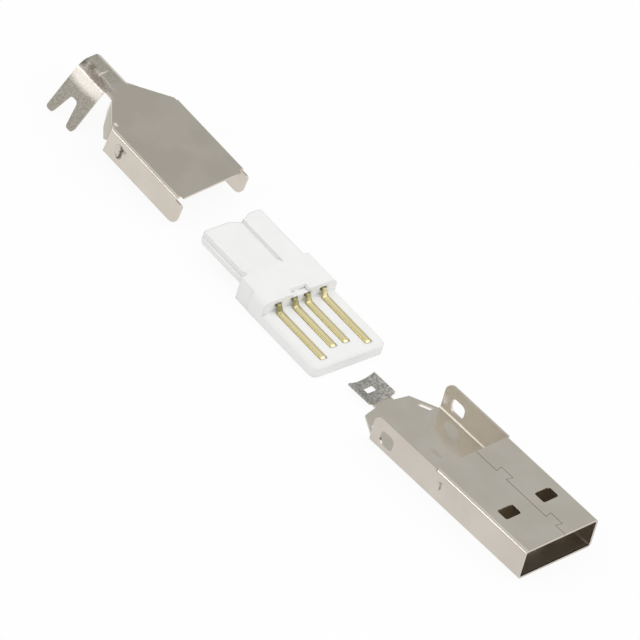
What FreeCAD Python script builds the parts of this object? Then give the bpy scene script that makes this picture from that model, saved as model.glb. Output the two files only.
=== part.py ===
# USB-A plug to solder on a cable, laid out as a kit: front shell, insulator with four contacts, rear cover.
# Millimetres, +Z up. The pieces lie on one flat surface at z = 0, and the plug's mouth faces +X.

import FreeCAD, Part
import math
import os
import re
import Sketcher

doc = FreeCAD.newDocument("UsbPlugKit")
sheet = doc.addObject("Spreadsheet::Sheet", "Sizes")

# Name, size and what it is. Everything below is worked out from these.
SIZES = [
    # Sheet metal and plug box
    ("sheet_thickness", 0.3, "steel sheet of both metal pieces"),
    ("cut_margin", 1.0, "cuts start outside the material by this"),
    ("plug_width", 12.0, "outside of the plug box"),
    ("plug_height", 4.5, "outside of the plug box"),
    ("box_length", 16.1, "mouth to the rear edge of the closed box"),
    ("outer_bend", 0.55, "outside radius of the box's bends"),
    ("inner_bend", 0.25, "inside radius of the box's bends"),
    ("window_across", 2.45, "latch windows in the top, across the plug"),
    ("window_along", 1.8, "latch windows in the top, along the plug"),
    ("window_spacing", 6.15, "centre to centre of the latch windows"),
    ("window_setback", 5.35, "mouth to the front edge of the latch windows"),
    ("window_corner", 0.3, "corner radius of the latch windows"),
    # Seam of the folded box
    ("seam_gap", 0.06, "open joint between the sheet's two edges"),
    ("seam_side", 0.45, "joint's place beside the middle"),
    ("dovetail_reach", 0.95, "how far a dovetail tab crosses the joint"),
    ("dovetail_root", 1.7, "a tab's width at its root"),
    ("dovetail_flare", 0.2, "a tab's tip is wider by this on each side"),
    ("front_dovetail", 2.6, "mouth to the middle of the front tab"),
    ("rear_dovetail", 11.5, "mouth to the middle of the rear tab"),
    # Stop barb on the box's sides
    ("barb_setback", 14.85, "mouth to the barb's tall end"),
    ("barb_length", 0.6, "along the plug"),
    ("barb_height", 1.0, "up the side"),
    ("barb_reach", 0.22, "how far it stands out"),
    ("barb_level", 2.1, "its lower edge above the plug's underside"),
    # Cradle
    ("cradle_length", 10.9, "open part behind the box"),
    ("wall_corner", 1.3, "radius of the side walls' rear top corners"),
    ("snap_length", 2.3, "snap windows in the side walls, along the plug"),
    ("snap_height", 2.0, "snap windows, up the wall"),
    ("snap_setback", 8.3, "rear edge of the box to the middle of the snap windows"),
    ("snap_level", 2.1, "middle of the snap windows above the plug's underside"),
    ("snap_corner", 0.7, "corner radius of the snap windows"),
    # Shoulders, neck and saddle at the rear
    ("shoulder_length", 3.35, "along the plug"),
    ("shoulder_inner", 3.6, "half width where the slanted edges end"),
    ("neck_setback", 0.4, "from the slanted edges' end to the neck"),
    ("neck_width", 2.9, "narrowest place"),
    ("neck_length", 0.6, "along the plug"),
    ("slot_strip", 0.42, "strip left outside each shoulder slot"),
    ("slot_width", 0.75, "shoulder slot, across its slanted run"),
    ("slot_start", 0.15, "cradle's end to the slot"),
    ("slot_end", 1.7, "slot to the end of the slanted edge"),
    ("saddle_length", 3.9, "along the plug"),
    ("saddle_width", 4.2, "wing tip to wing tip"),
    ("saddle_radius", 4.5, "inside of the trough, for the cable's jacket"),
    ("saddle_hole_along", 1.0, "hole in the saddle's floor"),
    ("saddle_hole_across", 1.6, "hole in the saddle's floor"),
    ("saddle_hole_setback", 2.2, "saddle's front edge to the middle of its hole"),
    # Insulator
    ("tongue_width", 11.3, "fits between the box's sides"),
    ("tongue_length", 10.5, "tip to the block's front face"),
    ("tongue_setback", 0.1, "assembled, the plug's mouth to the tongue's tip"),
    ("tongue_thickness", 1.9, "below the contacts"),
    ("tongue_corner", 1.0, "radius of the tongue's front corners"),
    ("tongue_leadin", 0.35, "bevel along the tongue's top front edge"),
    ("block_length", 5.3, "along the plug"),
    ("under_bevel", 0.3, "along the lower side edges, clear of the box's inside bends"),
    ("block_height", 3.55, "above the underside"),
    ("block_round", 0.95, "radius of the block's top side edges"),
    ("tab_clearance", 0.1, "room for the cover's tabs beside and behind the block's recesses"),
    ("notch_width", 2.5, "shallow notch in the block's front top edge"),
    ("notch_depth", 0.9, "along the plug"),
    ("notch_height", 0.5, "down from the top"),
    ("tail_length", 8.8, "behind the block"),
    ("tail_underside", 2.0, "solder side above the insulator's underside"),
    ("ledge_width", 9.8, "lowest step of the tail"),
    ("ledge_level", 2.55, "top of the lowest step"),
    ("tail_half", 4.4, "half width of the tail above its ledges"),
    ("channel_level", 3.15, "floor of the wire channel"),
    ("rib_width", 3.2, "raised strip beside the channel"),
    ("channel_ramp", 1.0, "slope from the channel up to the block"),
    ("tail_corner", 1.1, "radius of the tail's rear corners"),
    ("tail_dip", 0.6, "depth of the hollow in the tail's rear edge"),
    ("tail_dip_half", 1.45, "half width of the hollow"),
    # Contacts
    ("outer_pitch", 7.0, "power to ground"),
    ("inner_pitch", 2.0, "between the data contacts"),
    ("contact_width", 1.0, "each strip"),
    ("contact_thickness", 0.3, "each strip"),
    ("contact_crown", 0.12, "rounding of the strip's top edges"),
    ("outer_tip", 0.9, "tongue's tip to the outer contacts' tips"),
    ("inner_tip", 2.1, "tongue's tip to the inner contacts' tips"),
    ("contact_proud", 0.12, "strip's top above the tongue"),
    ("contact_play", 0.03, "clearance round a strip in its groove"),
    ("tip_drop", 0.3, "how far a tip dips into the tongue"),
    ("tip_length", 0.45, "along the plug"),
    ("exit_level", 2.95, "strip's top where it leaves the block"),
    ("exit_run", 0.65, "block's face to the foot of the strip's slope"),
    ("inside_run", 1.4, "block's face to the strip's bend inside"),
    ("inside_drop", 1.6, "length of the strip's slope inside the block"),
    ("solder_short", 0.5, "tail's end to the solder ends"),
    # Rear cover
    ("cover_play", 0.04, "cover's walls inside the cradle's walls"),
    ("cover_length", 12.9, "cover plate up to its shoulders"),
    ("cover_tuck", 1.9, "assembled, the plate's front edge goes under the box's top by this"),
    ("cover_bend", 0.45, "outside radius of the cover's bends"),
    ("cover_inner_bend", 0.15, "inside radius of the cover's bends"),
    ("tab_reach", 0.75, "tabs ahead of the cover plate"),
    ("tab_top", 0.55, "tabs' top edge below the cover plate's top"),
    ("tab_round", 1.2, "radius of the tabs' lower front corners"),
    ("tab_top_round", 0.4, "radius of the tabs' upper front corners"),
    ("tab_notch", 0.45, "corner relief beside each tab"),
    ("bump_width", 1.2, "snap bumps at the wall, along the plug"),
    ("bump_height", 1.6, "snap bumps at the wall, upwards"),
    ("bump_reach", 0.28, "how far a snap bump stands out"),
    ("bump_taper", 30.0, "slope of a snap bump's side in degrees"),
    ("cover_shoulder", 3.85, "slanted part of the cover plate, along the plug"),
    ("cover_neck", 4.5, "width of the cover's neck"),
    ("relief_size", 0.45, "relief notch where wall and flange part"),
    ("flange_drop", 3.85, "flange below the cover plate, where it is deepest"),
    ("flange_front", 2.7, "flange below the cover plate, beside the wall"),
    ("flange_lead", 1.0, "from the wall to where the flange is deepest"),
    ("flange_end", 2.3, "flange below the cover plate, at the neck"),
    ("flange_run", 2.5, "from the wall to where the flange starts to narrow"),
    ("neck_run", 1.7, "shoulders' end to the clamp"),
    ("neck_rear", 3.3, "width of the cover's neck at the clamp"),
    ("clamp_length", 4.95, "along the plug"),
    ("clamp_crest", 1.9, "flat top of the clamp's arch"),
    ("clamp_half", 1.95, "half width of the clamp at its lower bends"),
    ("clamp_side", 0.75, "lower bends below the clamp's top"),
    ("leg_out", 3.2, "leg tips outside the lower bends"),
    ("leg_below", 2.6, "leg tips below the walls' lower edges"),
    ("arch_bend", 0.9, "outside radius of the arch's upper bends"),
    ("leg_bend", 0.9, "outside radius where the legs turn out"),
    ("prong_width", 1.15, "prongs of the forked leg at their tips"),
    ("fork_root", 1.2, "fork's gap at its root"),
    ("fork_depth", 2.9, "height of the fork's gap"),
    ("fork_round", 0.5, "radius of the corners at the gap's root"),
    ("tongue_leg", 1.7, "width of the single leg on the other side"),
    ("leg_waist", 3.2, "height of the single leg's narrow part"),
    ("leg_round", 0.4, "radius of the corners of the legs' tips"),
    # Places in the layout
    ("insulator_place", 37.9, "mouth to the tongue's tip"),
    ("insulator_side", 0.45, "beside the plug's middle"),
    ("insulator_turn", -3.7, "degrees seen from above"),
    ("cover_place", 68.05, "mouth to the cover plate's front edge"),
    ("cover_side", 3.2, "beside the plug's middle"),
    ("cover_turn", 1.25, "degrees seen from above"),
]

for row, (alias, size, note) in enumerate(SIZES, start=1):
    sheet.set("A%d" % row, note)
    sheet.set("B%d" % row, repr(size))
    sheet.setAlias("B%d" % row, alias)
doc.recompute()

ALIASES = {alias for alias, size, note in SIZES}


def value(alias):
    """The number in a named cell."""
    return float(getattr(sheet, alias))


def bound(text):
    """An expression on the sheet, from plain names such as plug_width / 2."""
    def cell(match):
        word = match.group()
        return "Sizes." + word if word in ALIASES else word
    return re.sub(r"[a-z_]+", cell, text)


def worked_out(text):
    """The present value of such an expression."""
    return float(sheet.evalExpression(bound(text)))


def new_body(name):
    body = doc.addObject("PartDesign::Body", name)
    body.Label = name
    return body


def new_sketch(body, name, plane, offset="0"):
    """A sketch on one of the body's own planes, moved along the plane's normal by offset."""
    sketch = body.newObject("Sketcher::SketchObject", name)
    origin = [part for part in body.Origin.OriginFeatures if part.Role == plane + "_Plane"][0]
    sketch.AttachmentSupport = [(origin, "")]
    sketch.MapMode = "FlatFace"
    sketch.setExpression("AttachmentOffset.Base.z", bound(offset))
    return sketch


def outline(sketch, corners):
    """A closed outline with straight sides. Each corner is a pair of expressions."""
    places = [FreeCAD.Vector(worked_out(across), worked_out(up), 0) for across, up in corners]
    first = sketch.GeometryCount
    count = len(corners)
    for i in range(count):
        sketch.addGeometry(Part.LineSegment(places[i], places[(i + 1) % count]), False)
    for i, (across, up) in enumerate(corners):
        line = first + i
        following = first + (i + 1) % count
        sketch.addConstraint(Sketcher.Constraint("Coincident", line, 2, following, 1))
        level = sketch.addConstraint(Sketcher.Constraint("DistanceX", -1, 1, line, 1, places[i].x))
        sketch.setExpression("Constraints[%d]" % level, bound(across))
        level = sketch.addConstraint(Sketcher.Constraint("DistanceY", -1, 1, line, 1, places[i].y))
        sketch.setExpression("Constraints[%d]" % level, bound(up))


def rectangle(sketch, left, right, low, high):
    outline(sketch, [(left, low), (right, low), (right, high), (left, high)])


def trough(sketch, floor, radius, half, thickness):
    """A curved strip of even thickness that opens upwards, its inside of a given radius, as wide as half each way."""
    centre = FreeCAD.Vector(0, worked_out("%s + %s" % (floor, radius)), 0)
    reach = worked_out(half)
    ends = []
    for size in (radius, "%s + %s" % (radius, thickness)):
        arc_radius = worked_out(size)
        angle = math.asin(reach / arc_radius)
        circle = Part.Circle(centre, FreeCAD.Vector(0, 0, 1), arc_radius)
        middle = -math.pi / 2
        arc = sketch.addGeometry(Part.ArcOfCircle(circle, middle - angle, middle + angle), False)
        rule = sketch.addConstraint(Sketcher.Constraint("DistanceX", -1, 1, arc, 3, 0.0))
        rule = sketch.addConstraint(Sketcher.Constraint("DistanceY", -1, 1, arc, 3, centre.y))
        sketch.setExpression("Constraints[%d]" % rule, bound("%s + %s" % (floor, radius)))
        rule = sketch.addConstraint(Sketcher.Constraint("Radius", arc, arc_radius))
        sketch.setExpression("Constraints[%d]" % rule, bound(size))
        for end, sign in ((1, "-"), (2, "")):
            rule = sketch.addConstraint(Sketcher.Constraint("DistanceX", -1, 1, arc, end, worked_out(sign + half)))
            sketch.setExpression("Constraints[%d]" % rule, bound(sign + half))
        ends.append((arc, arc_radius, angle))
    (inner, inner_radius, inner_angle), (outer, outer_radius, outer_angle) = ends
    for end, sign in ((1, -1), (2, 1)):
        inner_end = FreeCAD.Vector(sign * reach, centre.y - inner_radius * math.cos(inner_angle), 0)
        outer_end = FreeCAD.Vector(sign * reach, centre.y - outer_radius * math.cos(outer_angle), 0)
        side = sketch.addGeometry(Part.LineSegment(inner_end, outer_end), False)
        sketch.addConstraint(Sketcher.Constraint("Coincident", side, 1, inner, end))
        sketch.addConstraint(Sketcher.Constraint("Coincident", side, 2, outer, end))


def mirrored(corners):
    """The same outline on the other side of the sketch's upright axis."""
    return [("-(%s)" % across, up) for across, up in reversed(corners)]


def flipped(corners):
    """The same outline on the other side of the sketch's level axis."""
    return [(across, "-(%s)" % up) for across, up in reversed(corners)]


def recomputed(feature):
    doc.recompute()
    if "Invalid" in feature.State or "Error" in feature.State or feature.Shape.isNull():
        raise RuntimeError("%s failed: %s" % (feature.Name, feature.State))
    return feature


def pad(body, sketch, name, length, backwards=False, both=False, taper=None):
    before = body.Shape.Volume if body.Tip else 0.0
    feature = body.newObject("PartDesign::Pad", name)
    feature.Profile = sketch
    feature.setExpression("Length", bound(length))
    feature.Reversed = backwards
    if both:
        feature.SideType = "Symmetric"
    if taper:
        feature.setExpression("TaperAngle", bound(taper))
    recomputed(feature)
    if feature.Shape.Volume <= before:
        raise RuntimeError(name + " adds nothing")
    return feature


def pocket(body, sketch, name, depth=None, backwards=False, both=False):
    """Cuts the sketch's outline out of the body, to a depth or right through."""
    before = body.Shape.Volume
    feature = body.newObject("PartDesign::Pocket", name)
    feature.Profile = sketch
    if depth:
        feature.setExpression("Length", bound(depth))
    else:
        feature.Type = "ThroughAll"
    feature.Reversed = backwards
    if both:
        feature.SideType = "Symmetric"
    recomputed(feature)
    if feature.Shape.Volume >= before:
        raise RuntimeError(name + " cuts nothing")
    return feature


def blend(body, sections, name):
    """Joins sections, each with as many corners, by flat and twisted faces."""
    before = body.Shape.Volume
    feature = body.newObject("PartDesign::AdditiveLoft", name)
    feature.Profile = sections[0]
    feature.Sections = sections[1:]
    feature.Ruled = True
    recomputed(feature)
    if feature.Shape.Volume <= before:
        raise RuntimeError(name + " adds nothing")


def near(one, other):
    return abs(one - other) < 1e-4


def edges_along(shape, axis, test):
    """Names of the straight edges that run along an axis and whose middle passes the test."""
    names = []
    for i, edge in enumerate(shape.Edges, start=1):
        if edge.Curve.TypeId != "Part::GeomLine":
            continue
        run = edge.Vertexes[-1].Point - edge.Vertexes[0].Point
        if near(abs(getattr(run, axis)), edge.Length) and test(edge.CenterOfMass):
            names.append("Edge%d" % i)
    return names


def rounded(body, name, axis, radius, test, kind="PartDesign::Fillet"):
    """Rounds, or bevels, the edges along an axis that pass the test."""
    base = body.Tip
    names = edges_along(base.Shape, axis, test)
    if not names:
        raise RuntimeError(name + " finds no edge")
    feature = body.newObject(kind, name)
    feature.Base = (base, names)
    feature.setExpression("Radius" if kind.endswith("Fillet") else "Size", bound(radius))
    return recomputed(feature)


def front_shell():
    """Box, cradle, rear plate and saddle of the folded front shell. The mouth is at x = 0."""
    body = new_body("front_shell")
    thickness = value("sheet_thickness")
    half = value("plug_width") / 2
    height = value("plug_height")
    box_rear = -value("box_length")
    cradle_rear = box_rear - value("cradle_length")

    # Floor and sides of box and cradle are one channel, as high as the box's top bends start
    channel_top = "(plug_height - outer_bend)"
    inside = "(plug_width / 2 - sheet_thickness)"
    section = new_sketch(body, "channel_section", "YZ")
    outline(section, [
        ("-plug_width / 2", "0"), ("plug_width / 2", "0"), ("plug_width / 2", channel_top), (inside, channel_top),
        (inside, "sheet_thickness"), ("-" + inside, "sheet_thickness"), ("-" + inside, channel_top),
        ("-plug_width / 2", channel_top)])
    pad(body, section, "channel", "box_length + cradle_length", backwards=True)
    rounded(body, "lower_bends", "x", "outer_bend", lambda middle: near(abs(middle.y), half) and near(middle.z, 0))
    rounded(body, "lower_inner_bends", "x", "inner_bend",
            lambda middle: near(abs(middle.y), half - thickness) and near(middle.z, thickness))

    # The box's top closes the channel in front, and behind it the cradle's walls go up to the same height
    section = new_sketch(body, "box_top_section", "YZ")
    outline(section, [
        ("plug_width / 2", channel_top), ("plug_width / 2", "plug_height"), ("-plug_width / 2", "plug_height"),
        ("-plug_width / 2", channel_top), ("-" + inside, channel_top),
        ("-" + inside, "plug_height - sheet_thickness"), (inside, "plug_height - sheet_thickness"),
        (inside, channel_top)])
    pad(body, section, "box_top", "box_length", backwards=True)
    rounded(body, "upper_bends", "x", "outer_bend",
            lambda middle: near(abs(middle.y), half) and near(middle.z, height))
    rounded(body, "upper_inner_bends", "x", "inner_bend",
            lambda middle: near(abs(middle.y), half - thickness) and near(middle.z, height - thickness))
    section = new_sketch(body, "wall_section", "YZ", "-box_length")
    for outer, inner in (("plug_width / 2", inside), ("-plug_width / 2", "-" + inside)):
        rectangle(section, outer, inner, channel_top, "plug_height")
    pad(body, section, "cradle_walls", "cradle_length", backwards=True)
    rounded(body, "wall_ends", "y", "wall_corner",
            lambda middle: near(middle.x, cradle_rear) and near(middle.z, height))

    # Rear plate: slanted shoulders, then a narrow neck
    shoulder = "box_length + cradle_length"
    slant_end = "%s + shoulder_length" % shoulder
    neck_front = "%s + neck_setback" % slant_end
    saddle_front = "%s + neck_length" % neck_front
    side = [
        ("-(%s)" % shoulder, "plug_width / 2 - outer_bend"),
        ("-(%s)" % slant_end, "shoulder_inner"),
        ("-(%s)" % neck_front, "neck_width / 2"),
        ("-(%s)" % saddle_front, "neck_width / 2")]
    plate = new_sketch(body, "rear_outline", "XY")
    outline(plate, side + [(across, "-(%s)" % up) for across, up in reversed(side)])
    pad(body, plate, "rear_plate", "sheet_thickness")

    # One slot along each slanted edge leaves a thin strip outside it
    slope = "((plug_width / 2 - outer_bend - shoulder_inner) / shoulder_length)"
    edge_start = "(plug_width / 2 - outer_bend - %s * slot_start)" % slope
    edge_end = "(shoulder_inner + %s * slot_end)" % slope
    slot = [
        ("-(%s + slot_start)" % shoulder, "%s - slot_strip" % edge_start),
        ("-(%s - slot_end)" % slant_end, "%s - slot_strip" % edge_end),
        ("-(%s - slot_end)" % slant_end, "%s - slot_strip - slot_width" % edge_end),
        ("-(%s + slot_start)" % shoulder, "%s - slot_strip - slot_width" % edge_start)]
    slots = new_sketch(body, "shoulder_slots", "XY")
    outline(slots, slot)
    outline(slots, flipped(slot))
    pocket(body, slots, "shoulder_slot_pair", "sheet_thickness", backwards=True)

    # Saddle: a shallow trough under the cable, its floor level with the rear plate
    section = new_sketch(body, "saddle_section", "YZ", "-(%s)" % saddle_front)
    trough(section, "sheet_thickness", "saddle_radius", "saddle_width / 2", "sheet_thickness")
    pad(body, section, "saddle", "saddle_length", backwards=True)
    hole = new_sketch(body, "saddle_hole_outline", "XY")
    hole_middle = "%s + saddle_hole_setback" % saddle_front
    rectangle(hole, "-(%s) - saddle_hole_along / 2" % hole_middle, "-(%s) + saddle_hole_along / 2" % hole_middle,
              "-saddle_hole_across / 2", "saddle_hole_across / 2")
    pocket(body, hole, "saddle_hole", backwards=True)

    # Latch windows in the top of the box
    windows = new_sketch(body, "latch_outline", "XY", "plug_height")
    for sign in ("-", ""):
        centre = "%swindow_spacing / 2" % sign
        rectangle(windows, "-window_setback - window_along", "-window_setback",
                  "%s - window_across / 2" % centre, "%s + window_across / 2" % centre)
    pocket(body, windows, "latch_windows", "sheet_thickness")
    rounded(body, "latch_corners", "z", "window_corner",
            lambda middle: near(middle.z, height - thickness / 2) and middle.x < -value("window_corner")
            and middle.x > box_rear / 2)

    # Snap windows in both walls of the cradle
    snaps = new_sketch(body, "snap_outline", "XZ")
    snap_middle = "(-box_length - snap_setback)"
    rectangle(snaps, "%s - snap_length / 2" % snap_middle, "%s + snap_length / 2" % snap_middle,
              "snap_level - snap_height / 2", "snap_level + snap_height / 2")
    pocket(body, snaps, "snap_windows", "plug_width + cut_margin", both=True)
    rounded(body, "snap_corners", "y", "snap_corner",
            lambda middle: abs(middle.x - worked_out(snap_middle)) < value("snap_length")
            and near(abs(middle.z - value("snap_level")), value("snap_height") / 2))

    # Seam: the sheet's two edges meet off the middle and lock with two dovetails
    lower = []
    upper = []
    lower.append(("-box_length", "seam_side - seam_gap / 2"))
    upper.append(("-box_length", "seam_side + seam_gap / 2"))
    for tab in ("rear_dovetail", "front_dovetail"):
        for sign in ("-", "+"):
            root = "(-%s %s dovetail_root / 2)" % (tab, sign)
            tip = "(-%s %s (dovetail_root / 2 + dovetail_flare))" % (tab, sign)
            inward = "+" if sign == "-" else "-"
            points = [(root, "seam_side"), (tip, "seam_side + dovetail_reach")]
            if sign == "+":
                points.reverse()
            for across, up in points:
                lower.append(("%s %s seam_gap / 2" % (across, inward), "%s - seam_gap / 2" % up))
                upper.append(("%s %s seam_gap / 2" % (across, sign), "%s + seam_gap / 2" % up))
    lower.append(("cut_margin", "seam_side - seam_gap / 2"))
    upper.append(("cut_margin", "seam_side + seam_gap / 2"))
    seam = new_sketch(body, "seam_outline", "XY", "plug_height")
    outline(seam, lower + list(reversed(upper)))
    pocket(body, seam, "seam", "sheet_thickness")

    # Stop barb on each side: a ramp that ends in a sharp edge towards the mouth
    barb = [
        ("-barb_setback - barb_length", "plug_width / 2"),
        ("-barb_setback", "plug_width / 2"),
        ("-barb_setback", "plug_width / 2 + barb_reach")]
    barbs = new_sketch(body, "barb_outline", "XY", "barb_level")
    outline(barbs, barb)
    outline(barbs, flipped(barb))
    pad(body, barbs, "barbs", "barb_height")
    return body


def strip_path(tip, rise="0", ends="0"):
    """Top line of a contact strip in the insulator's frame, from its solder end to its tip."""
    top = "(tongue_thickness + contact_proud + %s)" % rise
    inside = "(tail_underside + contact_thickness + %s)" % rise
    exit_top = "(exit_level + %s)" % rise
    return [
        ("-tongue_length - block_length - tail_length + solder_short - %s" % ends, inside),
        ("-tongue_length - inside_run - inside_drop", inside),
        ("-tongue_length - inside_run", exit_top),
        ("-tongue_length + contact_thickness", exit_top),
        ("-tongue_length + exit_run", top),
        ("-%s - tip_length" % tip, top),
        ("-%s + %s" % (tip, ends), "%s - tip_drop" % top)]


def strip_outline(tip, play="0"):
    """A strip of even thickness: its top line and the same line lower down, moved apart by play."""
    upper = strip_path(tip, play, play)
    lower = [(across, "%s - contact_thickness - 2 * (%s)" % (up, play)) for across, up in upper]
    return upper + list(reversed(lower))


CONTACTS = [
    ("contact_power", "-outer_pitch / 2", "outer_tip"),
    ("contact_data_minus", "-inner_pitch / 2", "inner_tip"),
    ("contact_data_plus", "inner_pitch / 2", "inner_tip"),
    ("contact_ground", "outer_pitch / 2", "outer_tip"),
]


def insulator():
    """Tongue, block and tail of the moulding. The tongue's tip is at x = 0."""
    body = new_body("insulator")
    half = value("tongue_width") / 2
    tongue_top = value("tongue_thickness")
    block_front = -value("tongue_length")
    block_rear = block_front - value("block_length")
    tail_rear = block_rear - value("tail_length")

    tongue = new_sketch(body, "tongue_outline", "XY")
    rectangle(tongue, "-tongue_length - block_length / 2", "0", "-tongue_width / 2", "tongue_width / 2")
    pad(body, tongue, "tongue", "tongue_thickness")
    rounded(body, "tongue_corners", "z", "tongue_corner", lambda middle: near(middle.x, 0))
    rounded(body, "tongue_lead_in", "y", "tongue_leadin",
            lambda middle: near(middle.x, 0) and near(middle.z, tongue_top), "PartDesign::Chamfer")
    block = new_sketch(body, "block_outline", "XY")
    rectangle(block, "-tongue_length - block_length", "-tongue_length", "-tongue_width / 2", "tongue_width / 2")
    pad(body, block, "block", "block_height")
    rounded(body, "block_edges", "x", "block_round",
            lambda middle: near(abs(middle.y), half) and near(middle.z, value("block_height")))
    rounded(body, "under_bevels", "x", "under_bevel",
            lambda middle: near(abs(middle.y), half) and near(middle.z, 0), "PartDesign::Chamfer")

    # The cover's front tabs go into the box beside the block's rear end
    recess_front = "(-box_length + cover_tuck + tab_reach + tongue_setback + tab_clearance)"
    recess_side = "(plug_width / 2 - 2 * sheet_thickness - cover_play - tab_clearance / 2)"
    recess = new_sketch(body, "recess_outline", "XY")
    for side, outside in ((recess_side, "plug_width / 2"), ("-" + recess_side, "-plug_width / 2")):
        rectangle(recess, "-tongue_length - block_length - cut_margin", recess_front, side, outside)
    pocket(body, recess, "tab_recesses", "block_height + cut_margin", backwards=True)

    # Tail: a plate with a ledge on each side, a wire channel and a raised rib
    plate = new_sketch(body, "ledge_outline", "XY", "tail_underside")
    rear = "(-tongue_length - block_length - tail_length)"
    front = "(-tongue_length - block_length)"
    rectangle(plate, rear, front, "-ledge_width / 2", "ledge_width / 2")
    pad(body, plate, "ledge", "ledge_level - tail_underside")
    channel = new_sketch(body, "channel_outline", "XY", "tail_underside")
    rectangle(channel, rear, front, "-tail_half", "tail_half")
    pad(body, channel, "channel", "channel_level - tail_underside")
    rib = new_sketch(body, "rib_outline", "XY", "tail_underside")
    rectangle(rib, rear, front, "tail_half - rib_width", "tail_half")
    pad(body, rib, "rib", "block_height - tail_underside")
    ramp = new_sketch(body, "ramp_outline", "XZ", "-(tail_half - rib_width)")
    outline(ramp, [
        ("%s - channel_ramp" % front, "channel_level"), (front, "channel_level"), (front, "block_height")])
    pad(body, ramp, "ramp", "2 * tail_half - rib_width")
    rounded(body, "tail_corners", "z", "tail_corner",
            lambda middle: near(middle.x, tail_rear) and near(abs(middle.y), value("ledge_width") / 2))
    dip = new_sketch(body, "dip_outline", "XY")
    dip_side = "(tail_half - rib_width)"
    outline(dip, [
        ("%s - cut_margin" % rear, "%s - tail_dip_half - cut_margin" % dip_side), (rear, "%s - tail_dip_half" % dip_side),
        ("%s + tail_dip" % rear, "%s - tail_dip / 2" % dip_side),
        ("%s + tail_dip" % rear, "%s + tail_dip / 2" % dip_side),
        (rear, "%s + tail_dip_half" % dip_side), ("%s - cut_margin" % rear, "%s + tail_dip_half + cut_margin" % dip_side)])
    pocket(body, dip, "tail_hollow", "block_height + cut_margin", backwards=True)

    # Shallow notch in the middle of the block's front top edge
    notch = new_sketch(body, "notch_outline", "XY", "block_height")
    rectangle(notch, "-tongue_length - notch_depth", "-tongue_length + cut_margin", "-notch_width / 2", "notch_width / 2")
    pocket(body, notch, "notch", "notch_height")

    # Each contact has a groove of its own shape through tongue, block and tail
    for name, side, tip in CONTACTS:
        groove = new_sketch(body, name + "_groove_outline", "XZ", "-(%s)" % side)
        outline(groove, strip_outline(tip, "contact_play"))
        pocket(body, groove, name + "_groove", "contact_width + 2 * contact_play", both=True)
    return body


def contact(name, side, tip):
    """A stamped strip: solder end under the tail, slope out of the block, run along the tongue, dipped tip."""
    body = new_body(name)
    profile = new_sketch(body, name + "_profile", "XZ", "-(%s)" % side)
    outline(profile, strip_outline(tip))
    pad(body, profile, name + "_strip", "contact_width", both=True)
    run_top = worked_out("tongue_thickness + contact_proud")
    rounded(body, name + "_crown", "x", "contact_crown",
            lambda middle: near(middle.z, run_top) and middle.x > -value("tongue_length"))
    return body


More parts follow.
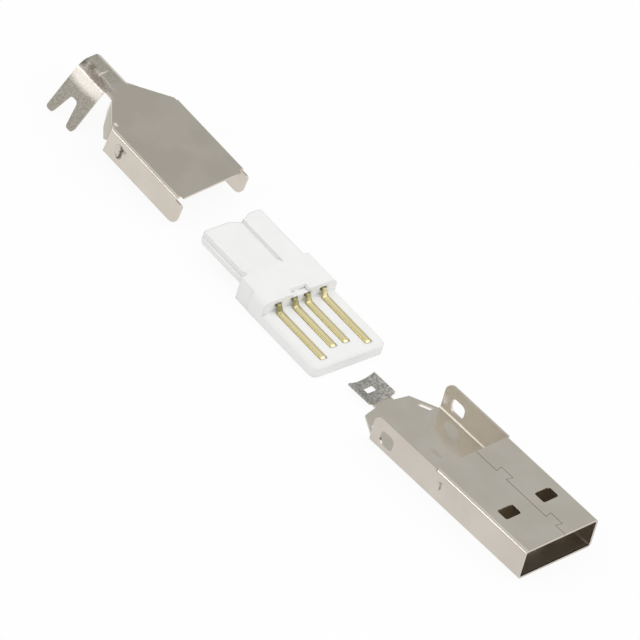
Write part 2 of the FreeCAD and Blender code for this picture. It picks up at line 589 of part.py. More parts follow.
def rear_cover():
    """Cover plate with walls, tabs, bumps, flanges and the cable clamp. The plate's front edge is at x = 0."""
    body = new_body("rear_cover")
    thickness = value("sheet_thickness")
    half = worked_out("plug_width / 2 - sheet_thickness - cover_play")
    height = worked_out("plug_height - 2 * sheet_thickness")
    side = "(plug_width / 2 - sheet_thickness - cover_play)"
    top = "(plug_height - 2 * sheet_thickness)"

    # Cable clamp: an arch with a forked leg on one side and a single leg on the other
    clamp_front = "(-cover_length - cover_shoulder - neck_run)"
    arch_fall = "(clamp_side / (clamp_half - clamp_crest / 2))"
    arch_slope = "atan(%s)" % arch_fall
    leg_slope = "atan((%s - clamp_side + leg_below) / leg_out)" % top
    mean_slope = "((%s + %s) / 2)" % (arch_slope, leg_slope)
    lower_bend = "(sheet_thickness / cos((%s - %s) / 2))" % (leg_slope, arch_slope)
    arch = [
        ("clamp_crest / 2", top), ("clamp_half", "%s - clamp_side" % top), ("clamp_half + leg_out", "-leg_below")]
    inner = [
        ("clamp_half + leg_out - sheet_thickness / sin(%s)" % leg_slope, "-leg_below"),
        ("clamp_half - %s * sin(%s)" % (lower_bend, mean_slope),
         "%s - clamp_side - %s * cos(%s)" % (top, lower_bend, mean_slope)),
        ("clamp_crest / 2 - sheet_thickness * tan(%s / 2)" % arch_slope, "%s - sheet_thickness" % top)]
    section = new_sketch(body, "clamp_section", "YZ", clamp_front)
    outline(section, arch + inner + mirrored(arch + inner))
    pad(body, section, "clamp", "clamp_length", backwards=True)
    crest = value("clamp_crest") / 2
    lower = value("clamp_half")
    lower_level = height - value("clamp_side")
    rounded(body, "arch_upper_bends", "x", "arch_bend",
            lambda middle: near(abs(middle.y), crest) and near(middle.z, height))
    rounded(body, "arch_inner_bends", "x", "arch_bend - sheet_thickness",
            lambda middle: abs(middle.y) < crest and near(middle.z, height - thickness))
    rounded(body, "leg_outer_bends", "x", "leg_bend",
            lambda middle: near(abs(middle.y), lower) and near(middle.z, lower_level))
    rounded(body, "leg_inner_bends", "x", "leg_bend - sheet_thickness",
            lambda middle: crest < abs(middle.y) < lower and lower_level - thickness < middle.z < lower_level)

    # The fork's gap narrows to a round root. The other side's leg fits between the prongs
    clamp_middle = "(%s - clamp_length / 2)" % clamp_front
    prong = "(clamp_length / 2 - prong_width)"
    fork = new_sketch(body, "fork_outline", "XZ")
    outline(fork, [
        ("%s - %s" % (clamp_middle, prong), "-leg_below"), ("%s - %s" % (clamp_middle, prong), "-leg_below - cut_margin"),
        ("%s + %s" % (clamp_middle, prong), "-leg_below - cut_margin"), ("%s + %s" % (clamp_middle, prong), "-leg_below"),
        ("%s + fork_root / 2" % clamp_middle, "-leg_below + fork_depth"),
        ("%s - fork_root / 2" % clamp_middle, "-leg_below + fork_depth")])
    pocket(body, fork, "fork", "2 * clamp_half + 2 * leg_out", backwards=True)
    fork_top = worked_out("-leg_below + fork_depth")
    rounded(body, "fork_ends", "y", "fork_round", lambda middle: near(middle.z, fork_top))
    waist = new_sketch(body, "waist_outline", "XZ")
    for sign in ("-", "+"):
        inside = "%s %s tongue_leg / 2" % (clamp_middle, sign)
        outside = "%s %s (clamp_length / 2 + cut_margin)" % (clamp_middle, sign)
        outline(waist, [
            (inside, "-leg_below - cut_margin"), (outside, "-leg_below - cut_margin"), (outside, "-leg_below + leg_waist"),
            (inside, "-leg_below + leg_waist")])
    pocket(body, waist, "waist", "2 * clamp_half + 2 * leg_out")

    rounded(body, "leg_tips", "y", "leg_round", lambda middle: near(middle.z, -value("leg_below")))

    # The neck bends from the flat plate into the arch. Then shoulders, and the plate with its walls
    flat = [("clamp_crest / 2", top), ("cover_neck / 2", top)]
    arched = [("clamp_crest / 2", top), ("neck_rear / 2", "%s - (neck_rear - clamp_crest) / 2 * %s" % (top, arch_fall))]
    sections = []
    for name, line, level in (("neck_front", flat, "-cover_length - cover_shoulder"), ("neck_rear", arched, clamp_front)):
        half_section = line + [(across, "%s - sheet_thickness" % up) for across, up in reversed(line)]
        section = new_sketch(body, name + "_section", "YZ", level)
        outline(section, half_section[:2] + half_section[2:] + mirrored(half_section))
        sections.append(section)
    blend(body, sections, "clamp_neck")
    flat_edge = "(%s - cover_bend)" % side
    slant = [
        ("-cover_length + sheet_thickness", flat_edge), ("-cover_length - relief_size", flat_edge),
        ("-cover_length - cover_shoulder", "cover_neck / 2")]
    plate = new_sketch(body, "shoulder_outline", "XY", "%s - sheet_thickness" % top)
    outline(plate, slant + flipped(slant))
    pad(body, plate, "shoulders", "sheet_thickness")

    section = new_sketch(body, "cover_section", "YZ")
    outline(section, [
        ("-" + side, "0"), ("-%s + sheet_thickness" % side, "0"),
        ("-%s + sheet_thickness" % side, "%s - sheet_thickness" % top),
        ("%s - sheet_thickness" % side, "%s - sheet_thickness" % top),
        ("%s - sheet_thickness" % side, "0"), (side, "0"), (side, top), ("-" + side, top)])
    pad(body, section, "cover_channel", "cover_length", backwards=True)
    rounded(body, "cover_bends", "x", "cover_bend", lambda middle: near(abs(middle.y), half) and near(middle.z, height))
    rounded(body, "cover_inner_bends", "x", "cover_inner_bend",
            lambda middle: near(abs(middle.y), half - thickness) and near(middle.z, height - thickness))

    # Front tabs, one ahead of each wall, with a relief beside the plate
    tab = [
        ("-tab_round", "0"), ("tab_reach", "0"), ("tab_reach", "%s - tab_top" % top), ("-tab_round", "%s - tab_top" % top)]
    for name, level in (("near", "%s - sheet_thickness" % side), ("far", "-" + side)):
        tabs = new_sketch(body, name + "_tab_outline", "XZ", level)
        outline(tabs, tab)
        pad(body, tabs, name + "_tab", "sheet_thickness")
    rounded(body, "tab_lower_corners", "y", "tab_round",
            lambda middle: near(middle.x, value("tab_reach")) and near(middle.z, 0))
    rounded(body, "tab_upper_corners", "y", "tab_top_round",
            lambda middle: near(middle.x, value("tab_reach")) and middle.z > height / 2)
    relief = new_sketch(body, "tab_relief_outline", "XY", top)
    corner = [("-tab_notch", "%s - cover_bend - tab_notch" % side), ("cut_margin", "%s - cover_bend - tab_notch" % side),
              ("cut_margin", "%s + cut_margin" % side), ("-tab_notch", "%s + cut_margin" % side)]
    outline(relief, corner)
    outline(relief, flipped(corner))
    pocket(body, relief, "tab_relief", "tab_top")

    # Snap bumps stand out of the walls and catch in the cradle's windows
    bump_middle = "(-snap_setback - cover_tuck)"
    bump_level = "(snap_level - sheet_thickness)"
    for name, level, away in (("near", side, False), ("far", "-" + side, True)):
        bump = new_sketch(body, name + "_bump_outline", "XZ", level)
        rectangle(bump, "%s - bump_width / 2" % bump_middle, "%s + bump_width / 2" % bump_middle,
                  "%s - bump_height / 2" % bump_level, "%s + bump_height / 2" % bump_level)
        pad(body, bump, name + "_bump", "bump_reach", backwards=away, taper="-bump_taper")

    # A flange is bent down along each slanted edge of the shoulders
    strip = [
        ("-cover_length - relief_size", flat_edge), ("-cover_length - cover_shoulder", "cover_neck / 2"),
        ("-cover_length - cover_shoulder", "cover_neck / 2 - sheet_thickness"),
        ("-cover_length - relief_size", "%s - sheet_thickness" % flat_edge)]
    flanges = new_sketch(body, "flange_outline", "XY", "%s - sheet_thickness" % top)
    outline(flanges, strip)
    outline(flanges, flipped(strip))
    pad(body, flanges, "flanges", "flange_drop - sheet_thickness", backwards=True)
    taper = new_sketch(body, "flange_taper_outline", "XZ")
    outline(taper, [
        ("-cover_length - relief_size - flange_run", "0"),
        ("-cover_length - relief_size - flange_run", "%s - flange_drop" % top),
        ("-cover_length - cover_shoulder", "%s - flange_end" % top),
        ("-cover_length - cover_shoulder", "0")])
    outline(taper, [
        ("-cover_length - relief_size", "0"), ("-cover_length - relief_size", "%s - flange_front" % top),
        ("-cover_length - relief_size - flange_lead", "%s - flange_drop" % top),
        ("-cover_length - relief_size - flange_lead", "0")])
    pocket(body, taper, "flange_taper", "plug_width", both=True)
    return body


def settle(body, turn, tip, place_x, place_y):
    """Turns and tips a body in degrees, then stands its lowest point on the surface."""
    rotation = FreeCAD.Rotation(turn, tip, 0)
    body.Placement = FreeCAD.Placement(FreeCAD.Vector(0, 0, 0), rotation)
    lowest = body.Shape.BoundBox.ZMin
    body.Placement = FreeCAD.Placement(FreeCAD.Vector(place_x, place_y, -lowest), rotation)


shell = front_shell()
moulding = insulator()
strips = [contact(name, side, tip) for name, side, tip in CONTACTS]
cover = rear_cover()
doc.recompute()
bodies = [shell, moulding] + strips + [cover]

# The cover stands on the lower edges of its walls in front and on its clamp's legs behind
leg_distance = worked_out("cover_length + cover_shoulder + neck_run + clamp_length")
cover_tip = math.degrees(math.atan2(value("leg_below"), leg_distance))
settle(shell, 0, 0, 0, 0)
for piece in [moulding] + strips:
    turn = FreeCAD.Rotation(value("insulator_turn"), 0, 0)
    piece.Placement = FreeCAD.Placement(
        FreeCAD.Vector(-value("insulator_place"), value("insulator_side"), 0), turn)
settle(cover, value("cover_turn"), cover_tip, -value("cover_place"), value("cover_side"))

# The row's origin is at the middle of the whole layout, on the surface
layout = FreeCAD.BoundBox()
for body in bodies:
    layout.add(body.Shape.BoundBox)
middle = FreeCAD.Vector(layout.Center.x, layout.Center.y, 0)
for body in bodies:
    body.Placement.Base = body.Placement.Base - middle

for part in doc.Objects:
    if "Invalid" in part.State or "Error" in part.State:
        raise RuntimeError("%s is in state %s" % (part.Name, part.State))
os.makedirs("parts", exist_ok=True)
for body in bodies:
    if body.Shape.isNull() or not body.Shape.isValid() or len(body.Shape.Solids) != 1:
        raise RuntimeError(body.Label + " isn't one valid solid")
    body.Shape.exportStep("parts/%s.step" % body.Label)
    box = body.Shape.BoundBox
    print("%-20s %8.3f mm3   x %7.2f %7.2f   y %6.2f %6.2f   z %5.2f %5.2f" % (
        body.Label, body.Shape.Volume, box.XMin, box.XMax, box.YMin, box.YMax, box.ZMin, box.ZMax))
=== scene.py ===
import math
import bpy
from mathutils import Matrix, Vector


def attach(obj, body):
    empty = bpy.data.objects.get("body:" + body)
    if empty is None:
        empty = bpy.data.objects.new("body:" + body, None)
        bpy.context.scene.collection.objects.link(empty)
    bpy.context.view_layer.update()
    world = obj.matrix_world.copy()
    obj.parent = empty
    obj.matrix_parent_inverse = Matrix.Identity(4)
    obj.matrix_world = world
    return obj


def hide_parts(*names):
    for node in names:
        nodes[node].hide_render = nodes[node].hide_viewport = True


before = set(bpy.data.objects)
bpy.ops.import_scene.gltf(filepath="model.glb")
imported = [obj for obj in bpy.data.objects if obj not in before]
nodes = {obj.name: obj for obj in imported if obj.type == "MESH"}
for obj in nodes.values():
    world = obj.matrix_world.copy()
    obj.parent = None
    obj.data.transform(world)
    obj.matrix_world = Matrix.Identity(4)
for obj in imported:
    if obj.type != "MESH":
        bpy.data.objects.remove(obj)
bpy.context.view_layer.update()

mm = 0.001
print("frame loaded:", ", ".join(sorted(nodes)))


def deselectAll():
    for item in bpy.context.selected_objects:
        item.select_set(False)


def toLinear(hexColour):
    channels = [int(hexColour[i:i + 2], 16) / 255 for i in (1, 3, 5)]
    return [c / 12.92 if c <= 0.04045 else ((c + 0.055) / 1.055) ** 2.4 for c in channels] + [1.0]


def addNode(tree, kind, settings=None, links=None):
    node = tree.nodes.new(kind)
    for name, setting in (settings or {}).items():
        if isinstance(name, int) or name in node.inputs:
            node.inputs[name].default_value = setting
        else:
            setattr(node, name, setting)
    for name, source in (links or {}).items():
        tree.links.new(source, node.inputs[name])
    return node


def newMaterial(name):
    material = bpy.data.materials.new(name)
    material.use_nodes = True
    material.node_tree.nodes.clear()
    return material, material.node_tree


def addNoise(tree, place, size, detail):
    return addNode(tree, "ShaderNodeTexNoise", {"Scale": 1 / (size * mm), "Detail": detail}, {"Vector": place})


# Noise drawn out along the sheet or strip. The mapping holds the line's size, so the noise itself is 1 mm.
def addLines(tree, place, look):
    across = 1 / look["lineSpacing"]
    stretch = addNode(tree, "ShaderNodeMapping", {"Scale": (1 / look["lineLength"], across, across)},
                      {"Vector": place})
    return addNoise(tree, stretch.outputs["Vector"], 1, 2.0).outputs["Fac"]


def addBump(tree, strength, depth, height, below=None):
    bump = addNode(tree, "ShaderNodeBump", {"Strength": strength, "Distance": depth * mm}, {"Height": height})
    if below:
        tree.links.new(below, bump.inputs["Normal"])
    return bump.outputs["Normal"]


def addSurface(tree, settings, links):
    shader = addNode(tree, "ShaderNodeBsdfPrincipled", settings, links)
    addNode(tree, "ShaderNodeOutputMaterial", None, {"Surface": shader.outputs["BSDF"]})


# A mix node has several sockets of one name, for numbers and for colours, so they are called by their place
mixInputs = {"share": 0, "firstNumber": 2, "secondNumber": 3, "firstColour": 6, "secondColour": 7}
mixOutputs = {"number": 0, "colour": 2}


def mixColours(tree, share, first, second):
    mix = addNode(tree, "ShaderNodeMix", {"data_type": "RGBA"}, {
        mixInputs["share"]: share, mixInputs["firstColour"]: first, mixInputs["secondColour"]: second})
    return mix.outputs[mixOutputs["colour"]]


def mixNumber(tree, share, first, number):
    mix = addNode(tree, "ShaderNodeMix", {"data_type": "FLOAT", mixInputs["secondNumber"]: number}, {
        mixInputs["share"]: share, mixInputs["firstNumber"]: first})
    return mix.outputs[mixOutputs["number"]]


# Turns from the first colour to the second as the share goes over the span
def fleckedColour(tree, share, colours, span=(0.38, 0.62)):
    ramp = addNode(tree, "ShaderNodeValToRGB", None, {"Fac": share})
    for element, position, colour in zip(ramp.color_ramp.elements, span, colours):
        element.position = position
        element.color = toLinear(colour)
    return ramp.outputs["Color"]


def plainColour(tree, hexColour):
    paint = addNode(tree, "ShaderNodeRGB")
    paint.outputs[0].default_value = toLinear(hexColour)
    return paint.outputs["Color"]


# Cold-rolled steel sheet, stamped and folded, under a satin nickel plate.
# The eye sees a warm grey mirror that is softly blurred, with faint lines from the rolls and a thin grain of the plate.
# A mark is a place, in mm, where the plate is drawn lighter or darker: most marks are painted shade or painted
# highlight, two are darker spots, and their two colours lie in small flecks.
platedSteel = {
    "cloudSize": 5.0,        # mm, slow changes in the plate's tone
    "lineSpacing": 0.16,     # mm, rolling lines, drawn coarser than the real 0.02 so that they show
    "lineLength": 12.0,      # mm
    "lineDepth": 0.0012,     # mm
    "grainSize": 0.11,       # mm, grain of the satin plate, drawn coarser than the real 0.01
    "grainDepth": 0.0010,    # mm
    "bumpStrength": 0.35,
    "fleckSize": 0.26,       # mm, flecks inside a mark
    "wander": 0.35,          # mm, how far a mark's border wanders
    "straightBelow": 0.1,    # a mark whose border is harder than this keeps it straight
    "flatAbove": 0.7, "wallBelow": 0.5,      # upward share of the surface's normal, where the tops' painted light turns to the walls'
    "lineShare": 0.6,                        # of the rolling lines in the roughness, added to the clouds
    "smoothFrom": 0.5, "roughTo": 1.1,       # noise that gives the lowest and the highest roughness
}
# Each look gives tops and walls their own colours, as painted light: the cover's walls are drawn lighter than its top,
# for how the light falls on each
shellLook = {
    "flat": ("#cfcabf", "#c9c4b8"), "wall": ("#d0c9bf", "#cbc3b9"),
    "roughness": (0.19, 0.25),
    "marks": [
        # Painted shade: the inside of the mouth drawn in a darker brown, as the light inside the box is dim
        {"name": "mouth painted shade", "shape": "box", "at": (38.4, -1.36, 2.25), "half": (7.1, 5.72, 1.95), "soft": 0.02,
         "colours": ("#b9aa98", "#c2b4a2"), "roughness": 0.5},
        # Painted shade: the saddle's trough drawn darker grey
        {"name": "saddle", "shape": "box", "at": (12.2, -1.4, 1.0), "half": (2.2, 3.2, 1.6), "soft": 0.18,
         "colours": ("#8b8983", "#bdbbb4"), "roughness": 0.42},
        # A dent in the cradle floor, drawn only as painted shade: a slightly darker patch
        {"name": "floor dent painted shade", "shape": "round", "at": (24.6, -1.6, 0.3), "half": (0.9, 0.35, 0.3), "soft": 0.6,
         "colours": ("#c0b9af", "#c8c2b8"), "roughness": 0.28},
    ],
}
coverLook = {
    "flat": ("#c4beb2", "#bdb7ab"), "wall": ("#d7cfc5", "#d1c9be"),
    "roughness": (0.20, 0.27),
    "marks": [
        # Painted shade: the cover's leg drawn darker
        {"name": "leg painted shade", "shape": "box", "at": (-43.2, -3.1, 2.2), "half": (2.9, 2.0, 3.0), "soft": 0.2,
         "colours": ("#a9a498", "#bfbaaf"), "roughness": 0.19},
        # Painted highlight: a broad light band along the bend between arch and leg
        {"name": "leg bend painted highlight", "shape": "round", "at": (-43.0, -0.75, 5.5), "half": (3.6, 0.75, 1.5), "soft": 0.9,
         "colours": ("#efe8de", "#f6f0e7"), "roughness": 0.36},
        # Painted shade: the arch drawn darker
        {"name": "arch painted shade", "shape": "box", "at": (-43.2, 1.65, 6.3), "half": (2.9, 2.15, 1.1), "soft": 0.12,
         "colours": ("#aca89c", "#c0bbaf"), "roughness": 0.26},
        {"name": "arch shade", "shape": "round", "at": (-41.9, -0.05, 6.2), "half": (1.9, 0.55, 0.7), "soft": 0.9,
         "colours": ("#897f76", "#a0968c"), "roughness": 0.3},
        # Painted highlight: a thin light line across the neck's crease
        {"name": "neck crease painted highlight", "shape": "round", "at": (-42.3, 0.95, 6.6), "half": (0.12, 0.7, 0.6), "soft": 0.8,
         "colours": ("#e2d9cf", "#ece4da"), "roughness": 0.5},
        # Darker spots on the arch
        {"name": "arch rear dark spot", "shape": "round", "at": (-45.1, 0.15, 6.7), "half": (0.6, 0.55, 0.6),
         "soft": 0.9, "colours": ("#6f6a5e", "#8b8578"), "roughness": 0.3},
        {"name": "arch dark spot", "shape": "round", "at": (-43.7, 0.4, 6.6), "half": (0.5, 0.4, 0.6), "soft": 0.9,
         "colours": ("#756f62", "#938d80"), "roughness": 0.3},
        # Painted highlight: a small light spot at the shoulder's corner
        {"name": "shoulder corner painted highlight", "shape": "round", "at": (-34.9, -3.15, 5.85), "half": (0.32, 0.22, 0.3),
         "soft": 0.9, "colours": ("#f2ecdf", "#f8f2e6"), "roughness": 0.5},
        # Painted shade: the flange drawn darker, as the leg shades it
        {"name": "flange painted shade", "shape": "box", "at": (-36.5, -2.4, 3.2), "half": (1.6, 2.2, 2.5), "soft": 0.08,
         "colours": ("#aea793", "#b4ad99"), "roughness": 0.28},
        # Painted shade: a dark disc at the bump, with the bump's face drawn over it in a plain tone, so a dark crescent
        # is left at its front
        {"name": "bump painted shade", "shape": "round", "at": (-32.55, -4.0, 3.65), "half": (0.78, 0.9, 0.98), "soft": 0.3,
         "colours": ("#5f574c", "#6f675b"), "roughness": 0.3},
        {"name": "bump face", "shape": "round", "at": (-32.83, -4.0, 3.72), "half": (0.62, 0.9, 0.84), "soft": 0.3,
         "colours": ("#cdc5bb", "#d3cbc1"), "roughness": 0.25},
    ],
}


def markMask(tree, place, mark):
    middle = [distance * mm for distance in mark["at"]]
    half = [distance * mm for distance in mark["half"]]
    offset = addNode(tree, "ShaderNodeVectorMath", {"operation": "SUBTRACT", 1: middle}, {0: place})
    shares = addNode(tree, "ShaderNodeVectorMath", {"operation": "DIVIDE", 1: half}, {0: offset.outputs["Vector"]})
    if mark["shape"] == "round":
        reach = addNode(tree, "ShaderNodeVectorMath", {"operation": "LENGTH"}, {0: shares.outputs["Vector"]})
    else:
        sides = addNode(tree, "ShaderNodeVectorMath", {"operation": "ABSOLUTE"}, {0: shares.outputs["Vector"]})
        split = addNode(tree, "ShaderNodeSeparateXYZ", None, {"Vector": sides.outputs["Vector"]})
        larger = addNode(tree, "ShaderNodeMath", {"operation": "MAXIMUM"},
                         {0: split.outputs["X"], 1: split.outputs["Y"]})
        reach = addNode(tree, "ShaderNodeMath", {"operation": "MAXIMUM"},
                        {0: larger.outputs["Value"], 1: split.outputs["Z"]})
    border = mark["soft"] / 2
    edge = addNode(tree, "ShaderNodeMapRange", {"From Min": 1 + border, "From Max": 1 - border},
                   {"Value": reach.outputs["Value"]})
    return edge.outputs["Result"]


# The place moved about by the flecks' noise, which lies round 0.5 in each direction
def wanderingPlace(tree, place, flecks, wander):
    noise = addNode(tree, "ShaderNodeVectorMath", {"operation": "SCALE", "Scale": wander * mm},
                    {0: flecks.outputs["Color"]})
    moved = addNode(tree, "ShaderNodeVectorMath", {"operation": "ADD"}, {0: place, 1: noise.outputs["Vector"]})
    centred = addNode(tree, "ShaderNodeVectorMath", {"operation": "SUBTRACT", 1: [wander * mm / 2] * 3},
                      {0: moved.outputs["Vector"]})
    return centred.outputs["Vector"]


def makePlatedSteel(name, look):
    steel = platedSteel
    material, tree = newMaterial(name)
    coordinates = addNode(tree, "ShaderNodeTexCoord")
    place = coordinates.outputs["Object"]
    clouds = addNoise(tree, place, steel["cloudSize"], 2.0).outputs["Fac"]
    lines = addLines(tree, place, steel)
    grain = addNoise(tree, place, steel["grainSize"], 1.0).outputs["Fac"]
    flecks = addNoise(tree, place, steel["fleckSize"], 3.0)

    # Tops and walls get their own colours by how each face is turned: painted light
    facing = addNode(tree, "ShaderNodeSeparateXYZ", None, {"Vector": coordinates.outputs["Normal"]})
    upright = addNode(tree, "ShaderNodeMath", {"operation": "ABSOLUTE"}, {0: facing.outputs["Z"]})
    wall = addNode(tree, "ShaderNodeMapRange", {"From Min": steel["flatAbove"], "From Max": steel["wallBelow"]},
                   {"Value": upright.outputs["Value"]})
    colour = mixColours(tree, wall.outputs["Result"], fleckedColour(tree, clouds, look["flat"]),
                        fleckedColour(tree, clouds, look["wall"]))

    uneven = addNode(tree, "ShaderNodeMath", {"operation": "MULTIPLY_ADD", 1: steel["lineShare"]},
                     {0: lines, 2: clouds})
    lowest, highest = look["roughness"]
    spread = addNode(tree, "ShaderNodeMapRange", {
        "From Min": steel["smoothFrom"], "From Max": steel["roughTo"], "To Min": lowest, "To Max": highest},
        {"Value": uneven.outputs["Value"]})
    roughness = spread.outputs["Result"]

    wandering = wanderingPlace(tree, place, flecks, steel["wander"])
    # Each mark paints its colours over the plate's own: most give painted shade or painted highlight
    for mark in look["marks"]:
        share = markMask(tree, place if mark["soft"] < steel["straightBelow"] else wandering, mark)
        colour = mixColours(tree, share, colour, fleckedColour(tree, flecks.outputs["Fac"], mark["colours"]))
        roughness = mixNumber(tree, share, roughness, mark["roughness"])

    lined = addBump(tree, steel["bumpStrength"], steel["lineDepth"], lines)
    normal = addBump(tree, steel["bumpStrength"], steel["grainDepth"], grain, lined)
    addSurface(tree, {"Metallic": 1.0}, {"Base Color": colour, "Roughness": roughness, "Normal": normal})
    return material


# Glass-filled white polyester, injection moulded: opaque and hardly glossy, its edges soft to the eye
whiteMoulding = {
    "colours": ("#f1f1f0", "#f3f3f2"), "colourSpan": (0.35, 0.6), "roughness": 0.42, "ior": 1.57,
    "flowSize": 3,           # mm, slow changes in tone where the plastic flowed
    "grainSize": 0.12,       # mm
    "grainDepth": 0.002,     # mm
    "bumpStrength": 0.4,
    "edgeRadius": 0.3,       # mm
}
edgeSamples = 8


def makeWhiteMoulding(name):
    look = whiteMoulding
    material, tree = newMaterial(name)
    place = addNode(tree, "ShaderNodeTexCoord").outputs["Object"]
    flow = addNoise(tree, place, look["flowSize"], 2.0).outputs["Fac"]
    colour = fleckedColour(tree, flow, look["colours"], look["colourSpan"])
    grain = addNoise(tree, place, look["grainSize"], 1.0).outputs["Fac"]
    softEdges = addNode(tree, "ShaderNodeBevel", {"Radius": look["edgeRadius"] * mm, "samples": edgeSamples})
    normal = addBump(tree, look["bumpStrength"], look["grainDepth"], grain, softEdges.outputs["Normal"])
    addSurface(tree, {"Roughness": look["roughness"], "IOR": look["ior"]}, {"Base Color": colour, "Normal": normal})
    return material


# The four contacts run along the insulator, which lies a little askew
contactRows = {
    "tip": (7.82, -0.91),    # mm, middle of the tongue's tip
    "turn": 3.7,             # degrees
    "middles": (1.0, 3.5),   # mm, on both sides of the tongue's middle
    "halfWidth": 0.5,        # mm
}

# Thin gold flash over nickel on stamped copper alloy: pale yellow metal with lines along the strip.
# The coined strips get a painted highlight along their crown, painted shade at their edges, and painted shade where
# they rise to the block.
goldFlash = {
    # The crown's colours are a painted highlight, the edge's colour painted shade at the strips' sides, and the shade
    # colour painted shade on the rise
    "paintedCrownHighlight": ("#fff7d0", "#f8eab2"), "crownSpan": (0.35, 0.65), "edge": "#c6b673", "shade": "#b0a878",
    "roughness": 0.24,
    "lineSpacing": 0.12,     # mm, drawn coarser than the real 0.02 so that they show
    "lineLength": 4.0,       # mm
    "lineDepth": 0.002,      # mm
    "bumpStrength": 0.4,
    "crownHeight": 0.07,     # mm
    "edgeFrom": 0.25,        # share of the half width where the painted edge shade starts
    "edgeRadius": 0.2,       # mm
    "riseFrom": -1.9, "riseTo": -2.3,    # mm along the object, over which the painted shade on the rise to the block comes in
}


# How far a point is from the middle of the nearest strip, as a share of the strip's half width
def shareAcross(tree, place):
    turn = math.radians(contactRows["turn"])
    tipX, tipY = contactRows["tip"]
    aside = -(math.sin(turn) * tipX + math.cos(turn) * tipY) * mm
    turned = addNode(tree, "ShaderNodeMapping", {"Location": (0, aside, 0), "Rotation": (0, 0, turn)},
                     {"Vector": place})
    across = addNode(tree, "ShaderNodeSeparateXYZ", None, {"Vector": turned.outputs["Vector"]})
    either = addNode(tree, "ShaderNodeMath", {"operation": "ABSOLUTE"}, {0: across.outputs["Y"]})
    gaps = []
    for middle in contactRows["middles"]:
        gap = addNode(tree, "ShaderNodeMath", {"operation": "SUBTRACT", 1: middle * mm}, {0: either.outputs["Value"]})
        gaps.append(addNode(tree, "ShaderNodeMath", {"operation": "ABSOLUTE"}, {0: gap.outputs["Value"]}))
    nearest = addNode(tree, "ShaderNodeMath", {"operation": "MINIMUM"},
                      {0: gaps[0].outputs["Value"], 1: gaps[1].outputs["Value"]})
    side = addNode(tree, "ShaderNodeMath", {"operation": "DIVIDE", 1: contactRows["halfWidth"] * mm},
                   {0: nearest.outputs["Value"]})
    return side.outputs["Value"]


def makeGoldFlash(name):
    look = goldFlash
    material, tree = newMaterial(name)
    place = addNode(tree, "ShaderNodeTexCoord").outputs["Object"]
    lines = addLines(tree, place, look)
    side = shareAcross(tree, place)

    # Painted highlight along the crown, turning to painted shade towards the strip's edges
    paintedCrownHighlight = fleckedColour(tree, lines, look["paintedCrownHighlight"], look["crownSpan"])
    toPaintedEdgeShade = addNode(tree, "ShaderNodeMapRange", {"From Min": look["edgeFrom"], "From Max": 1.0}, {"Value": side})
    colour = mixColours(tree, toPaintedEdgeShade.outputs["Result"], paintedCrownHighlight, plainColour(tree, look["edge"]))
    # Painted shade where the strips rise to the block
    along = addNode(tree, "ShaderNodeSeparateXYZ", None, {"Vector": place})
    riseShadeShare = addNode(tree, "ShaderNodeMapRange", {"From Min": look["riseFrom"] * mm, "From Max": look["riseTo"] * mm},
                   {"Value": along.outputs["X"]})
    colour = mixColours(tree, riseShadeShare.outputs["Result"], colour, plainColour(tree, look["shade"]))

    fall = addNode(tree, "ShaderNodeMath", {"operation": "POWER", 1: 2.0}, {0: side})
    height = addNode(tree, "ShaderNodeMath", {"operation": "MULTIPLY", 1: -1.0}, {0: fall.outputs["Value"]})
    coined = addNode(tree, "ShaderNodeBevel", {"Radius": look["edgeRadius"] * mm, "samples": edgeSamples})
    crowned = addBump(tree, 1.0, look["crownHeight"], height.outputs["Value"], coined.outputs["Normal"])
    normal = addBump(tree, look["bumpStrength"], look["lineDepth"], lines, crowned)
    addSurface(tree, {"Metallic": 1.0, "Roughness": look["roughness"]}, {"Base Color": colour, "Normal": normal})
    return material


# Real edges are never sharp: stamping rounds the sheet's edges a little, and a mould's edges a little more
finishes = {
    "front_shell": {
        "radius": 0.045,     # mm
        "material": makePlatedSteel("nickel_plated_steel_shell", shellLook), "slot": "shell_steel"},
    "rear_cover": {
        "radius": 0.045,     # mm
        "material": makePlatedSteel("nickel_plated_steel_cover", coverLook), "slot": "cover_steel"},
    "insulator": {
        "radius": 0.16,      # mm
        "material": makeWhiteMoulding("white_polyester_moulded"), "slot": "white_moulding"},
    "contact": {
        "radius": 0.12,      # mm
        "material": makeGoldFlash("gold_flash_stamped"), "slot": "gold_contact"},
}
edgeRules = {
    "bends": 32,             # degrees, flatter edges are part of a rounded face
    "flat": 0.2,             # degrees, flatter edges are dissolved
    "together": 0.0005,      # mm, nearer points are merged
    "segments": 2,
}
print("materials ready:", len(finishes))

# The contacts narrow where they rise to the block
pointedRise = {
    "from": 2.3, "top": 2.95,    # mm above the surface
    "share": 0.5,                # of the width left at the top
}


def narrowRise(piece):
    turn = math.radians(contactRows["turn"])
    tip = Vector((*contactRows["tip"], 0)) * mm
    middles = [sign * middle * mm for middle in contactRows["middles"] for sign in (-1, 1)]
    toRow, fromRow = Matrix.Rotation(turn, 4, "Z"), Matrix.Rotation(-turn, 4, "Z")
    for vertex in piece.data.vertices:
        raised = (vertex.co.z / mm - pointedRise["from"]) / (pointedRise["top"] - pointedRise["from"])
        if raised > 0:
            local = toRow @ (vertex.co - tip)
            middle = min(middles, key=lambda row: abs(local.y - row))
            local.y = middle + (local.y - middle) * (1 - min(raised, 1) * (1 - pointedRise["share"]))
            vertex.co = fromRow @ local + tip


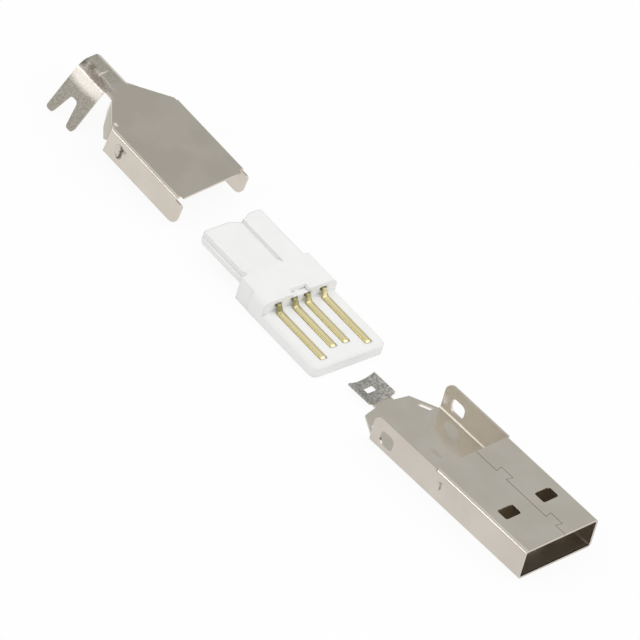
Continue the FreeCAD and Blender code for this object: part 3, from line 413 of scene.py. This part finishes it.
def dressNode(node):
    finish = finishes.get(node.name, finishes["contact"])
    deselectAll()
    piece = node.copy()
    piece.data = node.data.copy()
    piece.parent = None
    piece.matrix_world = node.matrix_world.copy()
    piece.name = node.name + "_dressed"
    bpy.context.scene.collection.objects.link(piece)
    piece.select_set(True)
    bpy.context.view_layer.objects.active = piece
    if piece.data.has_custom_normals:
        bpy.ops.mesh.customdata_custom_splitnormals_clear()
    bpy.ops.object.mode_set(mode="EDIT")
    bpy.ops.mesh.select_all(action="SELECT")
    bpy.ops.mesh.remove_doubles(threshold=edgeRules["together"] * mm)
    bpy.ops.mesh.dissolve_limited(angle_limit=math.radians(edgeRules["flat"]))
    bpy.ops.object.mode_set(mode="OBJECT")
    if node.name.startswith("contact"):
        narrowRise(piece)
    bevel = piece.modifiers.new("edges", "BEVEL")
    bevel.width = finish["radius"] * mm
    bevel.segments = edgeRules["segments"]
    bevel.limit_method = "ANGLE"
    bevel.angle_limit = math.radians(edgeRules["bends"])
    bpy.ops.object.modifier_apply(modifier="edges")
    bpy.ops.object.shade_smooth_by_angle(angle=math.radians(edgeRules["bends"]))
    even = piece.modifiers.new("even", "WEIGHTED_NORMAL")
    even.keep_sharp = True
    bpy.ops.object.modifier_apply(modifier="even")
    piece.data.materials.clear()
    piece.data.materials.append(finish["material"])
    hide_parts(node.name)
    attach(piece, "root")


for node in nodes.values():
    dressNode(node)
print("edges rounded on", len(nodes), "pieces")


# Floor: pale for what looks at it straight or in a reflection, and it still takes the pieces' soft shadows
floorLook = {
    "size": 4.0,             # m
    "white": 1.0, "shadowShare": 0.08, "colour": "#f4f4f4",
}


def makeFloor():
    deselectAll()
    bpy.ops.mesh.primitive_plane_add(size=floorLook["size"], location=(0, 0, 0))
    floor = bpy.context.object
    floor.name = "floor"
    material, tree = newMaterial("floor_paper")
    path = addNode(tree, "ShaderNodeLightPath")
    either = addNode(tree, "ShaderNodeMath", {"operation": "MAXIMUM"},
                     {0: path.outputs["Is Camera Ray"], 1: path.outputs["Is Glossy Ray"]})
    seen = addNode(tree, "ShaderNodeMath", {"operation": "MAXIMUM"},
                   {0: either.outputs["Value"], 1: path.outputs["Is Transmission Ray"]})
    share = addNode(tree, "ShaderNodeMath", {"operation": "MULTIPLY", 1: 1 - floorLook["shadowShare"]},
                    {0: seen.outputs["Value"]})
    paper = addNode(tree, "ShaderNodeBsdfDiffuse", {"Color": toLinear(floorLook["colour"])})
    glow = addNode(tree, "ShaderNodeEmission", {"Strength": floorLook["white"]})
    mix = addNode(tree, "ShaderNodeMixShader", None,
                  {0: share.outputs["Value"], 1: paper.outputs["BSDF"], 2: glow.outputs["Emission"]})
    addNode(tree, "ShaderNodeOutputMaterial", None, {"Surface": mix.outputs["Shader"]})
    floor.data.materials.append(material)


makeFloor()


# Turned by the azimuth about the upright axis, then tipped up to the elevation
def lookingDown(azimuth, elevation):
    return Matrix.Rotation(math.radians(azimuth), 4, "Z") @ Matrix.Rotation(math.radians(90 - elevation), 4, "X")


# The room is an even pale grey, and four soft lamps stand for the studio's boxes.
# Angles are in degrees, distances and sizes in metres, and power is in watts.
lighting = {
    "room": 0.68,
    "lamps": [
        {"name": "top", "azimuth": 100, "elevation": 80, "distance": 0.6, "size": 0.8, "power": 0.9},
        {"name": "side", "azimuth": 130, "elevation": 38, "distance": 0.6, "size": 0.7, "power": 0.75},
        {"name": "fill", "azimuth": -37, "elevation": 42, "distance": 0.6, "size": 0.5, "power": 0.13},
        {"name": "strip", "azimuth": -31, "elevation": 25, "distance": 0.5, "size": 0.14, "power": 0.17},
    ],
}


def makeLighting():
    world = bpy.data.worlds.new("studio")
    bpy.context.scene.world = world
    world.use_nodes = True
    tree = world.node_tree
    tree.nodes.clear()
    glow = addNode(tree, "ShaderNodeBackground", {"Color": (1, 1, 1, 1), "Strength": lighting["room"]})
    addNode(tree, "ShaderNodeOutputWorld", None, {"Surface": glow.outputs["Background"]})
    for lamp in lighting["lamps"]:
        light = bpy.data.lights.new(lamp["name"], "AREA")
        light.shape = "DISK"
        light.size = lamp["size"]
        light.energy = lamp["power"]
        item = bpy.data.objects.new(lamp["name"], light)
        bpy.context.scene.collection.objects.link(item)
        item.matrix_world = lookingDown(lamp["azimuth"], lamp["elevation"]) @ Matrix.Translation(
            (0, 0, lamp["distance"]))


makeLighting()
print("floor and lighting ready")

# Long lens from the plug's left front, rolled as in the photograph
cameraView = {
    "azimuth": 37.45, "elevation": 40.29, "roll": 16.58,     # degrees
    "distance": 1.43873, "nearest": 0.01, "farthest": 10,    # m
    "lens": 675.0,                                           # mm
    "aim": (1.149, -0.213, 2.0),                             # mm
}


def makeCamera():
    look = cameraView
    data = bpy.data.cameras.new("camera")
    data.lens = look["lens"]
    data.clip_start = look["nearest"]
    data.clip_end = look["farthest"]
    camera = bpy.data.objects.new("camera", data)
    bpy.context.scene.collection.objects.link(camera)
    turn = lookingDown(look["azimuth"], look["elevation"]) @ Matrix.Rotation(math.radians(look["roll"]), 4, "Z")
    aim = Matrix.Translation(Vector(look["aim"]) * mm)
    camera.matrix_world = aim @ turn @ Matrix.Translation((0, 0, look["distance"]))
    bpy.context.scene.camera = camera


makeCamera()
bpy.context.scene.view_settings.view_transform = "Standard"
print("camera ready")
